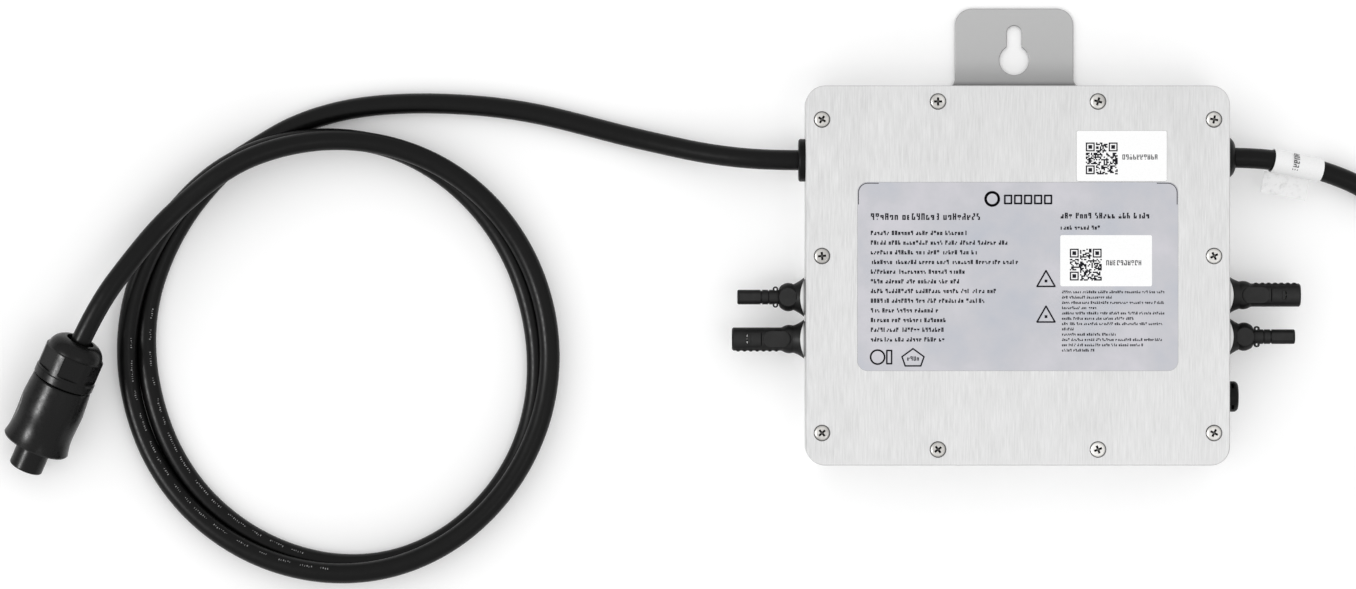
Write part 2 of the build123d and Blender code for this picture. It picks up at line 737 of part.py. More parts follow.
def lead_plug_contacts():
    start = BELL_END + 0.1
    end = BELL_END + STUB_L - 1.5
    sleeves = []
    for y, z in contact_places():
        sleeves.append(rod(SLEEVE_R, start, end, y, z) - rod(CONTACT_R + SMALL, start + 1.4, end, y, z))
    return sleeves


def tail_plug_shell():
    shell = bell_outline(BELL_R + 0.9) - finger_dents() + plug_thread()
    shell += rod(TAIL_SLEEVE_R, BELL_END, BELL_END + TAIL_SLEEVE_L)
    shell -= rod(TAIL_BORE_R, TAIL_BORE_START, BELL_END)
    return shell - rod(TAIL_MOUTH_R, BELL_END + TAIL_SLEEVE_L - TAIL_MOUTH_L, BELL_END + TAIL_SLEEVE_L)


def tail_plug_core():
    core = rod(TAIL_BORE_R - SMALL, TAIL_BORE_START, TAIL_BORE_START + CORE_T)
    for y, z in contact_places():
        core -= rod(CONTACT_R, TAIL_BORE_START, TAIL_BORE_START + CORE_T, y, z)
    return core


def tail_plug_pins():
    start = TAIL_BORE_START + 0.1
    return [rod(CONTACT_R, start, start + TAIL_PIN_L, y, z) for y, z in contact_places()]


def at_lead_plug(shape):
    return aim(shape, *LEAD_PLUG, LEAD_PLUG_TURN, LEAD_PLUG_PITCH)


def at_tail_plug(shape):
    return aim(shape, *TAIL_PLUG, TAIL_PLUG_TURN)


# Coil, marker and tag

def lead_coil():
    ring = Pos(COIL_X, COIL_Y) * Ellipse(*COIL_OUTER)
    ring -= Pos(COIL_X + COIL_INNER_SHIFT[0], COIL_Y + COIL_INNER_SHIFT[1]) * Ellipse(*COIL_INNER)
    coil = extrude(ring, amount=COIL_H)
    return chamfer(coil.faces().sort_by(Axis.Z)[-1].edges(), COIL_EDGE)


def cable_marker():
    sleeve = rod_between(MARKER_R, MARKER_START, MARKER_END)
    return sleeve - rod_between(MARKER_IN_R, MARKER_START, MARKER_END)


def marker_tag():
    """A film tag beside the marker, along its length and sloping down with it."""
    run = Vector(*MARKER_END) - Vector(*MARKER_START)
    middle = (Vector(*MARKER_START) + Vector(*MARKER_END)) * 0.5
    flat = Plane(origin=middle, x_dir=run, z_dir=Vector(0, 0, 1) - run * (run.Z / run.length**2))
    return flat.location * (Pos(-3.0, -MARKER_R - TAG_Y / 2, -2.2) * Box(TAG_X, TAG_Y, TAG_T))


# Inside the case

def main_board():
    board = plate(-BOARD_X, BOARD_X, *BOARD_Y, BOARD_Z, BOARD_TOP, BOARD_CORNER)
    for x, y in POSTS:
        board -= post(BOARD_SCREW_R + 0.1, x, y, BOARD_Z, BOARD_TOP)
    return board


def board_screws():
    screws = []
    for x, y in POSTS:
        head = post(BOARD_HEAD_R, x, y, BOARD_TOP, BOARD_TOP + BOARD_HEAD_H)
        screws.append(head + post(BOARD_SCREW_R - 0.02, x, y, FLOOR + 2.5, BOARD_TOP))
    return screws


def transformer_core(x, y):
    """An E core: a block with two windows."""
    cx, cy, cz = CORE
    core = Pos(0, 0, cz / 2) * Box(cx, cy, cz)
    for side in (-1, 1):
        offset = side * (cx / 2 - CORE_LEG - CORE_WINDOW[0] / 2)
        core -= Pos(offset, 0, cz / 2) * Box(CORE_WINDOW[0], cy, CORE_WINDOW[1])
    return Pos(x, y, BOARD_TOP) * core


def transformer_winding(x, y):
    cx, cy, cz = CORE
    width = cx - 2 * CORE_LEG - 2 * WINDING_GAP
    leg = cx - 2 * CORE_LEG - 2 * CORE_WINDOW[0] + 2 * WINDING_GAP
    height = CORE_WINDOW[1] - 2 * WINDING_GAP
    coil = Box(width, cy + 2 * WINDING_OUT, height) - Box(leg, cy + 2 * WINDING_GAP, height)
    for end in (0, -1):
        coil = fillet(coil.edges().filter_by(Axis.Z).group_by(Axis.Y)[end], WINDING_R)
    return Pos(x, y, BOARD_TOP + cz / 2) * coil


def bulk_capacitors():
    row = [CAPACITOR_X + CAPACITOR_PITCH * i for i in range(4)]
    return [post(CAPACITOR_R, x, CAPACITOR_Y, BOARD_TOP, BOARD_TOP + CAPACITOR_H) for x in row]


def boxes_on_board(corners, size):
    """Equal boxes standing on the board, each at its lowest x and y corner."""
    sx, sy, sz = size
    return [block(x, x + sx, y, y + sy, BOARD_TOP, BOARD_TOP + sz) for x, y in corners]


def heat_spreader():
    """An angle bar that takes the transistors' heat to the case's floor."""
    half = SPREADER_HALF_X
    bar = block(-half, half, SPREADER_Y - SPREADER_DEPTH, SPREADER_Y, FLOOR, SPREADER_TOP)
    return bar - block(10 - half, half - 10, SPREADER_Y - SPREADER_DEPTH, SPREADER_Y - 5, 12, SPREADER_TOP)


def transistor_places():
    return [TRANSISTOR_PITCH * (i - 3.5) for i in range(8)]


def power_transistors():
    front = SPREADER_Y + PAD_T
    half = TRANSISTOR_HALF_W
    return [block(x - half, x + half, front, front + TRANSISTOR_T, *TRANSISTOR_Z)
            for x in transistor_places()]


def thermal_pads():
    half = TRANSISTOR_HALF_W + 1
    z0, z1 = TRANSISTOR_Z
    return [block(x - half, x + half, SPREADER_Y, SPREADER_Y + PAD_T, z0 - 1, z1)
            for x in transistor_places()]


def choke_core():
    return Pos(*CHOKE_PLACE) * Torus(CHOKE_R, CHOKE_CORE_R)


def choke_winding():
    """Closed turns of wire round the ring core."""
    turns = []
    for i in range(CHOKE_TURNS):
        loop = Pos(CHOKE_R, 0, 0) * Rot(90, 0, 0) * Torus(CHOKE_CORE_R + CHOKE_WIRE_R + 0.1, CHOKE_WIRE_R)
        turns.append(Pos(*CHOKE_PLACE) * Rot(0, 0, (i + 0.3) * 360 / CHOKE_TURNS) * loop)
    return turns


def fuse():
    body = rod(FUSE_R, -FUSE_HALF_L, FUSE_HALF_L)
    for end in (-FUSE_HALF_L, FUSE_HALF_L - FUSE_CAP_L):
        body += rod(FUSE_CAP_R, end, end + FUSE_CAP_L)
    return Pos(*FUSE_PLACE) * body


def control_board():
    x0, x1 = CONTROL_X
    y0, y1 = CONTROL_Y
    top = CONTROL_Z + CONTROL_T
    board = plate(x0, x1, y0, y1, CONTROL_Z, top, 2) - block(x0, x0 + 6, y0 - 1, y0 + 5, CONTROL_Z, top)
    processor = block(36, 46, 46, 56, top, top + 1.2)
    radio = block(54, 66, 48, 56, top, top + 1.0)
    return board + processor + radio


def board_pillars():
    return [post(PILLAR_R, x, y, BOARD_TOP, CONTROL_Z) for x in PILLAR_X for y in PILLAR_Y]


def terminal_blocks():
    sx, sy, sz = TERMINAL
    blocks = []
    for side in (-1, 1):
        body = Pos(side * TERMINAL_X, TERMINAL_Y, BOARD_TOP + sz / 2) * Box(sx, sy, sz)
        for i in (-1, 0, 1):
            mouth = Box(2 * TERMINAL_MOUTH_DEPTH, 4.2, 5)
            wall = side * (TERMINAL_X + sx / 2)
            body -= Pos(wall, TERMINAL_Y + TERMINAL_PITCH * i, BOARD_TOP + sz / 2) * mouth
        blocks.append(body)
    return blocks


def ac_wires():
    """Three cores from each cable's end to its terminal block."""
    end_x = TERMINAL_X + TERMINAL[0] / 2 - TERMINAL_MOUTH_DEPTH + 0.5
    wires = []
    for side, y in ((-1, GLAND_LEFT_Y), (1, GLAND_RIGHT_Y)):
        for i in (-1, 0, 1):
            start = (side * (CABLE_IN - CORE_GAP), y + AC_CORE_PITCH * i, PORT_Z)
            end = (side * end_x, TERMINAL_Y + TERMINAL_PITCH * i, BOARD_TOP + TERMINAL[2] / 2)
            wires.append(rod_between(AC_CORE_R, start, end))
    return wires


def dc_wires():
    """One core from each solar connector to the board."""
    wires = []
    for x, y, _ in PORTS.values():
        side = 1 if x > 0 else -1
        start = (side * (WALL_X - PORT_NECK_L - CORE_GAP), y, PORT_Z)
        wires.append(rod_between(DC_CORE_R, start, (side * DC_CORE_END, y, BOARD_TOP + DC_CORE_R + 0.1)))
    return wires


def vent_membrane():
    return aim(rod(VENT_HOLLOW_R - 0.1, 3.0, 3.0 + MEMBRANE_T), WALL_X, VENT_Y, PORT_Z, 0)


def write_case():
    save("housing", housing())
    save("lid", lid())
    save("lid_gasket", gasket_ring())
    save("lid_screws", *lid_screws())
    save("rating_label", plate(*LABEL_X, *LABEL_Y, CASE_Z, CASE_Z + FILM_T, LABEL_R))
    save("serial_sticker_upper", sticker(UPPER_STICKER, CASE_Z))
    save("serial_sticker_lower", sticker(LOWER_STICKER, CASE_Z + FILM_T))
    save("mounting_bracket", bracket())
    save("bracket_screws", *bracket_screws())


def write_ports():
    save("ac_gland_left", at_gland(gland_flat(), "left"))
    save("ac_gland_right", at_gland(gland_domed(), "right"))
    nut = lock_nut(GLAND_NUT_FLAT, GLAND_NUT_T, GLAND_NECK_R + SMALL)
    save("ac_gland_nuts", *[at_gland(nut, name) for name in GLANDS])
    for side in ("left", "right"):
        save(f"dc_nose_{side}", at_port(nose_body(), f"nose_{side}"))
        save(f"dc_socket_{side}", at_port(socket_body(), f"socket_{side}"))
        save(f"latch_{side}_upper", at_port(latch_arm(), f"socket_{side}"))
        save(f"latch_{side}_lower", at_port(Rot(180, 0, 0) * latch_arm(), f"socket_{side}"))
    pin = rod(PIN_R - 0.02, SOCKET_BORE_END - 3.9, PIN_TIP)
    save("dc_socket_pins", *[at_port(pin, f"socket_{side}") for side in ("left", "right")])
    save("dc_nose_contacts", *[at_port(nose_contact(), f"nose_{side}") for side in ("left", "right")])
    save("dc_seals", *[at_port(port_seal(), name) for name in PORTS])
    nut = lock_nut(PORT_NUT_FLAT, PORT_NUT_T, PORT_NECK_R + SMALL)
    save("dc_lock_nuts", *[at_port(nut, name) for name in PORTS])
    save("vent_cap", aim(vent_cap(), WALL_X, VENT_Y, PORT_Z, 0))
    save("vent_membrane", vent_membrane())


def write_cables():
    save("lead_run", tube_along(LEAD_ROUTE, CABLE_R, "lead_run"))
    save("lead_coil", lead_coil())
    save("lead_end", tube_along(END_ROUTE, CABLE_R, "lead_end"))
    save("lead_plug_nut", at_lead_plug(union_nut()))
    save("lead_plug_grommet", at_lead_plug(grommet()))
    save("lead_plug_shell", at_lead_plug(lead_plug_shell()))
    save("lead_plug_stub", at_lead_plug(lead_plug_stub()))
    save("lead_plug_contacts", *[at_lead_plug(s) for s in lead_plug_contacts()])
    save("tail_run", tube_along(TAIL_ROUTE, CABLE_R, "tail_run"))
    save("cable_marker", cable_marker())
    save("marker_tag", marker_tag())
    save("tail_plug_nut", at_tail_plug(union_nut()))
    save("tail_plug_grommet", at_tail_plug(grommet()))
    save("tail_plug_shell", at_tail_plug(tail_plug_shell()))
    save("tail_plug_core", at_tail_plug(tail_plug_core()))
    save("tail_plug_pins", *[at_tail_plug(p) for p in tail_plug_pins()])


def write_inside():
    save("main_board", main_board())
    save("board_screws", *board_screws())
    save("transformer_cores", *[transformer_core(x, y) for x, y in TRANSFORMER_PLACES])
    save("transformer_windings", *[transformer_winding(x, y) for x, y in TRANSFORMER_PLACES])
    save("bulk_capacitors", *bulk_capacitors())
    save("film_capacitors", *boxes_on_board(FILM_CAPACITOR_PLACES, FILM_CAPACITOR))
    save("relays", *boxes_on_board(RELAY_PLACES, RELAY))
    save("heat_spreader", heat_spreader())
    save("power_transistors", *power_transistors())
    save("thermal_pads", *thermal_pads())
    save("choke_core", choke_core())
    save("choke_winding", *choke_winding())
    save("fuse", fuse())
    save("control_board", control_board())
    save("board_pillars", *board_pillars())
    save("terminal_blocks", *terminal_blocks())
    save("ac_wires", *ac_wires())
    save("dc_wires", *dc_wires())


os.makedirs("parts", exist_ok=True)
write_case()
write_ports()
write_cables()
write_inside()
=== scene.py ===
import bpy
import math
import random
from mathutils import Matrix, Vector


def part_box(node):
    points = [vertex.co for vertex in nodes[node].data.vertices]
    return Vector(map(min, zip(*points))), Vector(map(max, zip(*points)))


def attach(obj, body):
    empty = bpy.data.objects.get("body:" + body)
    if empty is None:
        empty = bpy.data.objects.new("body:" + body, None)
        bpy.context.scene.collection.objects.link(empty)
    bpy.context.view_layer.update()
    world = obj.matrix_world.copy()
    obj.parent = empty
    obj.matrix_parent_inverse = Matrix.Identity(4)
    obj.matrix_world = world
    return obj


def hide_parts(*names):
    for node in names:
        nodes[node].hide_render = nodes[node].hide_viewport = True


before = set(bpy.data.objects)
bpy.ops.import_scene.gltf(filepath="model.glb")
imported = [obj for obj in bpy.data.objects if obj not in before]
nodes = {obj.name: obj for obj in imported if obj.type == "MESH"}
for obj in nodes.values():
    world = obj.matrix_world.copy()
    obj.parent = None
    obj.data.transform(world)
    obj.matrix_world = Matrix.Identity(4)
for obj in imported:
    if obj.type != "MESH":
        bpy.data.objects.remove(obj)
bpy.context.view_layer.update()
MM = 0.001


def mm(*values):
    return tuple(v * MM for v in values)


# Camera: a long lens straight above, left of the case, as the studio view has it

LID_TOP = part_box("lid")[1].z
VIEW_WIDTH = 0.678
VIEW_CENTRE = mm(-170.0, -9.5)
CAMERA_UP = 3.4
SENSOR = 36.0


def add_camera():
    data = bpy.data.cameras.new("camera")
    data.sensor_width = SENSOR
    data.lens = SENSOR * CAMERA_UP / VIEW_WIDTH
    data.clip_end = 20
    camera = bpy.data.objects.new("camera", data)
    camera.location = (*VIEW_CENTRE, LID_TOP + CAMERA_UP)
    bpy.context.scene.collection.objects.link(camera)
    bpy.context.scene.camera = camera


add_camera()


# Cables

CABLE_R = 5.1
# Height of a cable's centre where it lies on the floor
ON_FLOOR = 5.15
# Where the cables leave the case
EXIT_Z = 20.0
LEAD_Y = 58.0
TAIL_Y = 59.4
# From inside the left gland down to the floor and along it to the ring
LEAD_ROUTE = [
    (-97.0, LEAD_Y, EXIT_Z),
    (-116.0, LEAD_Y, EXIT_Z),
    (-136.0, 58.9, 17.6),
    (-157.0, 61.7, 12.6),
    (-177.6, 66.2, 8.2),
    (-198.3, 71.0, 5.7),
    (-218.6, 76.4, ON_FLOOR),
    (-239.2, 81.5, ON_FLOOR),
    (-259.9, 84.9, ON_FLOOR),
    (-279.6, 86.6, ON_FLOOR),
    (-299.6, 87.2, ON_FLOOR),
    (-319.8, 86.4, ON_FLOOR),
    (-337.4, 84.0, ON_FLOOR),
    (-353.6, 79.7, ON_FLOOR),
    (-368.0, 73.8, ON_FLOOR),
    (-382.0, 65.4, ON_FLOOR),
    (-397.3, 55.9, ON_FLOOR),
]
# From the ring up into the plug
END_ROUTE = [
    (-425.4, 30.5, 23.6),
    (-441.3, 11.6, 30.0),
    (-462.8, -17.6, 35.2),
    (-476.4, -47.6, 27.0),
]
# From inside the right gland down to the floor and up into its plug
TAIL_ROUTE = [
    (97.0, TAIL_Y, EXIT_Z),
    (119.0, TAIL_Y, EXIT_Z),
    (139.0, 56.9, 15.6),
    (157.5, 52.2, 10.2),
    (175.5, 45.0, 6.6),
    (192.5, 33.4, 5.2),
    (206.0, 17.0, ON_FLOOR),
    (213.8, -3.0, ON_FLOOR),
    (216.5, -24.4, 6.6),
    (216.5, -45.5, 12.4),
    (216.5, -65.5, 17.0),
    (216.5, -85.0, 17.0),
]
COIL_CENTRE = (-341.6, -40.6)
# Degrees between the ring's points
COIL_STEP = 15
# The loose ring: angle round the ring, radius and height, where either changes its course
COIL_SHAPE = [
    (129, 107.6, ON_FLOOR),
    (139, 103.5, ON_FLOOR),
    (165, 98.9, ON_FLOOR),
    (195, 95.6, ON_FLOOR),
    (240, 99.9, ON_FLOOR),
    (285, 106.6, ON_FLOOR),
    (325, 104.2, ON_FLOOR),
    (370, 99.5, ON_FLOOR),
    (405, 102.8, ON_FLOOR),
    (435, 108.3, 5.3),
    (457, 110.3, 9.6),
    (476, 111.4, 15.4),
    (510, 108.0, 13.4),
    (540, 106.4, 8.4),
    (555, 106.0, 5.3),
    (600, 107.8, 11.3),
    (645, 109.8, 14.9),
    (690, 107.5, 14.7),
    (735, 107.0, 12.3),
    (780, 108.8, 14.9),
    (806, 108.8, 16.6),
    (834, 108.7, 25.2),
    (850, 109.6, 25.6),
]


def cubic(a, b, c, d, t):
    """The value between b and c on a smooth curve through a, b, c and d. Each is (place, value)."""
    span = c[0] - b[0]
    leave = (c[1] - a[1]) / (c[0] - a[0]) * span
    arrive = (d[1] - b[1]) / (d[0] - b[0]) * span
    rest = 1 - t
    start = (1 + 2 * t) * rest * rest * b[1] + t * rest * rest * leave
    return start + t * t * (3 - 2 * t) * c[1] - t * t * rest * arrive


def coil_value(angle, column):
    """The ring's radius (column 1) or height (column 2) at an angle."""
    rows = [(row[0], row[column]) for row in COIL_SHAPE]
    i = max(k for k in range(len(rows) - 1) if rows[k][0] <= angle)
    before = rows[i - 1] if i else (rows[0][0] - 10, rows[0][1])
    after = rows[i + 2] if i + 2 < len(rows) else (rows[-1][0] + 10, rows[-1][1])
    t = (angle - rows[i][0]) / (rows[i + 1][0] - rows[i][0])
    return cubic(before, rows[i], rows[i + 1], after, t)


def coil_points():
    """The two turns. A spline passes inside its points, so they stand out by that much."""
    stand_out = 1 / math.cos(math.radians(COIL_STEP / 2))
    points = []
    for angle in range(COIL_SHAPE[0][0] + 6, COIL_SHAPE[-1][0], COIL_STEP):
        radius = coil_value(angle, 1) * stand_out
        turn = math.radians(angle)
        x = COIL_CENTRE[0] + radius * math.cos(turn)
        y = COIL_CENTRE[1] + radius * math.sin(turn)
        points.append((x, y, coil_value(angle, 2)))
    return points


def route_curve(name, route, radius):
    data = bpy.data.curves.new(name, "CURVE")
    data.dimensions = "3D"
    data.resolution_u = 10
    data.bevel_depth = 1
    data.bevel_resolution = 7
    data.use_fill_caps = True
    spline = data.splines.new("NURBS")
    spline.points.add(len(route) - 1)
    for point, place in zip(spline.points, route):
        point.co = (*mm(*place), 1)
        point.radius = radius * MM
    spline.order_u = 3
    spline.use_endpoint_u = True
    curve = bpy.data.objects.new(name, data)
    bpy.context.scene.collection.objects.link(curve)
    return curve


def route_line(curve):
    """The curve's own centre line, as points in metres."""
    bare = curve.copy()
    bare.data = curve.data.copy()
    bare.data.bevel_depth = 0
    mesh = bpy.data.meshes.new_from_object(bare)
    line = [v.co.copy() for v in mesh.vertices]
    bpy.data.objects.remove(bare)
    bpy.data.meshes.remove(mesh)
    return line


def line_length(line):
    return sum((b - a).length for a, b in zip(line, line[1:]))


lead = route_curve("lead_cable", LEAD_ROUTE + coil_points() + END_ROUTE, CABLE_R)
tail = route_curve("tail_cable", TAIL_ROUTE, CABLE_R)
lead_line = route_line(lead)
tail_line = route_line(tail)
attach(lead, "case")
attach(tail, "case")
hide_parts("lead_run", "lead_coil", "lead_end")
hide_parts("tail_run")


# Floor and light

FLOOR_SIZE = 12.0
# The dome's brightness: (share of the way up, value)
SKY = ((0.0, 0.5), (0.4, 1.05), (1.0, 1.1))


def add_floor():
    mesh = bpy.data.meshes.new("floor")
    half = FLOOR_SIZE / 2
    corners = [(-half, -half, 0), (half, -half, 0), (half, half, 0), (-half, half, 0)]
    mesh.from_pydata(corners, [], [(0, 1, 2, 3)])
    floor = bpy.data.objects.new("floor", mesh)
    bpy.context.scene.collection.objects.link(floor)
    return floor


def add_area(name, place, target, size, power):
    """A rectangular light at place that points at target."""
    data = bpy.data.lights.new(name, "AREA")
    data.shape = "RECTANGLE"
    data.size = size[0]
    data.size_y = size[1]
    data.energy = power
    light = bpy.data.objects.new(name, data)
    light.location = place
    aim = Vector(target) - Vector(place)
    light.rotation_euler = aim.to_track_quat("-Z", "Y").to_euler()
    bpy.context.scene.collection.objects.link(light)
    return light


def add_world():
    """A studio dome: bright overhead and dim towards the horizon."""
    world = bpy.data.worlds.new("studio")
    world.use_nodes = True
    tree = world.node_tree
    where = tree.nodes.new("ShaderNodeTexCoord")
    parts = tree.nodes.new("ShaderNodeSeparateXYZ")
    ramp = tree.nodes.new("ShaderNodeValToRGB")
    elements = ramp.color_ramp.elements
    elements.new(0.5)
    for element, (place, value) in zip(elements, SKY):
        element.position = place
        element.color = (value, value, value, 1)
    tree.links.new(where.outputs["Generated"], parts.inputs["Vector"])
    tree.links.new(parts.outputs["Z"], ramp.inputs["Fac"])
    tree.links.new(ramp.outputs["Color"], tree.nodes["Background"].inputs["Color"])
    bpy.context.scene.world = world


floor = add_floor()
add_world()
# The key only makes the highlights on the black parts. The dome makes the soft, nearly shadowless light
key = add_area("key", (-2.4, -0.35, 2.0), (-0.4, 0, 0), (0.6, 0.6), 75)
key.visible_diffuse = False
add_area("fill", (0.8, -0.75, 3.0), (0.1, 0, 0), (0.8, 0.8), 5)
bpy.context.scene.view_settings.view_transform = "Standard"


# Materials

def material(name, color, roughness, metallic=0.0, specular=0.5):
    mat = bpy.data.materials.new(name)
    mat.use_nodes = True
    shader = mat.node_tree.nodes["Principled BSDF"]
    shader.inputs["Base Color"].default_value = (*color, 1)
    shader.inputs["Roughness"].default_value = roughness
    shader.inputs["Metallic"].default_value = metallic
    shader.inputs["Specular IOR Level"].default_value = specular
    return mat


def node(mat, kind, **settings):
    made = mat.node_tree.nodes.new(kind)
    for key, value in settings.items():
        setattr(made, key, value)
    return made


def link(mat, out, into):
    mat.node_tree.links.new(out, into)


def place_on(mat, scale=(1, 1, 1)):
    """Object coordinates, which are metres in the part's own frame, stretched by scale."""
    where = node(mat, "ShaderNodeTexCoord")
    stretch = node(mat, "ShaderNodeMapping")
    stretch.inputs["Scale"].default_value = scale
    link(mat, where.outputs["Object"], stretch.inputs["Vector"])
    return stretch.outputs["Vector"]


def noise(mat, where, scale, detail=4.0, rough=0.5):
    made = node(mat, "ShaderNodeTexNoise")
    made.inputs["Scale"].default_value = scale
    made.inputs["Detail"].default_value = detail
    made.inputs["Roughness"].default_value = rough
    link(mat, where, made.inputs["Vector"])
    return made.outputs["Fac"]


def spread(mat, value, low, high, new_low, new_high):
    """Value, with low to high stretched to new_low to new_high."""
    made = node(mat, "ShaderNodeMapRange")
    made.inputs["From Min"].default_value = low
    made.inputs["From Max"].default_value = high
    made.inputs["To Min"].default_value = new_low
    made.inputs["To Max"].default_value = new_high
    link(mat, value, made.inputs["Value"])
    return made.outputs["Result"]


def tint(mat, value, stops):
    """A colour that follows value, through (place, colour) stops, into the base colour."""
    ramp = node(mat, "ShaderNodeValToRGB")
    elements = ramp.color_ramp.elements
    while len(elements) < len(stops):
        elements.new(0.5)
    for element, (place, color) in zip(elements, stops):
        element.position = place
        element.color = (*color, 1)
    link(mat, value, ramp.inputs["Fac"])
    shader = mat.node_tree.nodes["Principled BSDF"]
    link(mat, ramp.outputs["Color"], shader.inputs["Base Color"])
    return ramp.outputs["Color"]


def roughen(mat, value, low, high):
    """Roughness from low to high, following a noise value."""
    shader = mat.node_tree.nodes["Principled BSDF"]
    link(mat, spread(mat, value, 0.3, 0.7, low, high), shader.inputs["Roughness"])


def bump(mat, value, height, strength=1.0, before=None):
    """Relief of the given height in metres, over an earlier relief if there is one."""
    made = node(mat, "ShaderNodeBump")
    made.inputs["Strength"].default_value = strength
    made.inputs["Distance"].default_value = height
    link(mat, value, made.inputs["Height"])
    if before is not None:
        link(mat, before, made.inputs["Normal"])
    shader = mat.node_tree.nodes["Principled BSDF"]
    link(mat, made.outputs["Normal"], shader.inputs["Normal"])
    return made.outputs["Normal"]


def grey(value):
    return (value, value, value)


def shade_hollows(mat, reach, dark, color):
    """Painted shade in recesses: the colour is darkened where other surfaces are close."""
    near = node(mat, "ShaderNodeAmbientOcclusion")
    near.inputs["Distance"].default_value = reach
    mixed = node(mat, "ShaderNodeMix", data_type="RGBA")
    mixed.inputs["A"].default_value = (*dark, 1)
    link(mat, spread(mat, near.outputs["AO"], 0.55, 0.92, 0, 1), mixed.inputs["Factor"])
    link(mat, color, mixed.inputs["B"])
    shader = mat.node_tree.nodes["Principled BSDF"]
    link(mat, mixed.outputs["Result"], shader.inputs["Base Color"])


def brushed_lid():
    """Clear-anodised aluminium with short brush strokes along Y."""
    mat = material("brushed_aluminium", grey(0.70), 0.4, metallic=1.0)
    strokes = noise(mat, place_on(mat, (1, 0.05, 1)), 1500, 4, 0.7)
    bands = noise(mat, place_on(mat, (1, 0.25, 1)), 60, 3)
    both = node(mat, "ShaderNodeMath", operation="MULTIPLY_ADD")
    link(mat, strokes, both.inputs[0])
    both.inputs[1].default_value = 0.8
    link(mat, spread(mat, bands, 0, 1, 0, 0.2), both.inputs[2])
    color = tint(mat, both.outputs[0], [(0.3, grey(0.50)), (0.5, grey(0.575)), (0.7, grey(0.65))])
    # Painted shade on the lid where other surfaces are close.
    shade_hollows(mat, 0.0006, grey(0.12), color)
    roughen(mat, strokes, 0.36, 0.46)
    bump(mat, strokes, 0.00001, 0.3)
    return mat


def cast_case():
    """Blasted cast aluminium, faintly cloudy."""
    mat = material("blasted_aluminium", grey(0.6), 0.5, metallic=1.0)
    fine = noise(mat, place_on(mat), 2600, 3)
    tint(mat, noise(mat, place_on(mat), 30, 4), [(0.3, grey(0.50)), (0.7, grey(0.62))])
    roughen(mat, fine, 0.42, 0.6)
    bump(mat, fine, 0.00006, 0.5)
    return mat


def satin_sheet():
    """The bracket's satin plate, with painted shade close to the case."""
    mat = material("satin_sheet", grey(0.42), 0.55, metallic=0.9)
    grain = noise(mat, place_on(mat, (0.2, 1, 1)), 1500, 4)
    color = tint(mat, grain, [(0.3, grey(0.39)), (0.7, grey(0.42))])
    # Painted shade: the plate is darkened where the case is close, standing in for the case's shadow at its
    # base.
    shade_hollows(mat, 0.0045, grey(0.06), color)
    roughen(mat, grain, 0.48, 0.6)
    bump(mat, grain, 0.00001, 0.3)
    return mat


def screw_steel():
    """Plated pan heads: some are duller than others, and painted shade darkens the recesses."""
    mat = material("screw_steel", (0.6, 0.58, 0.55), 0.35, metallic=1.0)
    worn = noise(mat, place_on(mat), 22, 6, 0.7)
    dull = (0.30, 0.29, 0.28)
    middle = (0.52, 0.51, 0.49)
    bright = (0.80, 0.79, 0.77)
    color = tint(mat, worn, [(0.35, dull), (0.5, middle), (0.68, bright)])
    # Painted shade in the cross recesses and round the heads.
    shade_hollows(mat, 0.0026, grey(0.006), color)
    roughen(mat, worn, 0.28, 0.5)
    return mat


def silver_film():
    """The rating label: lavender silver film with a faint mottle and shallow waves."""
    mat = material("silver_film", (0.55, 0.55, 0.58), 0.45, metallic=0.5)
    mottle = noise(mat, place_on(mat), 30, 4, 0.6)
    cool = (0.43, 0.445, 0.49)
    middle = (0.475, 0.475, 0.505)
    warm = (0.53, 0.52, 0.555)
    tint(mat, mottle, [(0.3, cool), (0.5, middle), (0.68, warm)])
    fine = noise(mat, place_on(mat), 3000, 2)
    roughen(mat, fine, 0.4, 0.52)
    waves = bump(mat, noise(mat, place_on(mat), 60, 2), 0.0003, 0.25)
    bump(mat, fine, 0.00001, 0.3, before=waves)
    return mat


def white_film(name, value):
    """Matt white film of a sticker or sleeve, as pale as value."""
    mat = material(name, grey(value), 0.6, specular=0.3)
    fibre = noise(mat, place_on(mat), 1800, 4)
    tint(mat, fibre, [(0.3, grey(value - 0.05)), (0.7, grey(value))])
    roughen(mat, fibre, 0.5, 0.7)
    bump(mat, fibre, 0.00001, 0.3)
    return mat


def tag_film():
    """Clear film with a cloudy adhesive on its back."""
    mat = material("tag_film", grey(0.8), 0.35)
    cloud = noise(mat, place_on(mat), 320, 5, 0.7)
    tint(mat, cloud, [(0.25, grey(0.72)), (0.5, grey(0.90))])
    roughen(mat, cloud, 0.25, 0.5)
    bump(mat, cloud, 0.0001, 0.4)
    shader = mat.node_tree.nodes["Principled BSDF"]
    shader.inputs["Alpha"].default_value = 0.72
    return mat


def print_ink(name, color):
    """Matt ink, worn paler in places."""
    mat = material(name, color, 0.55, specular=0.1)
    worn = noise(mat, place_on(mat), 1200, 2)
    light = tuple(min(1.5 * c, 1) for c in color)
    tint(mat, worn, [(0.35, color), (0.7, light)])
    roughen(mat, worn, 0.45, 0.65)
    return mat


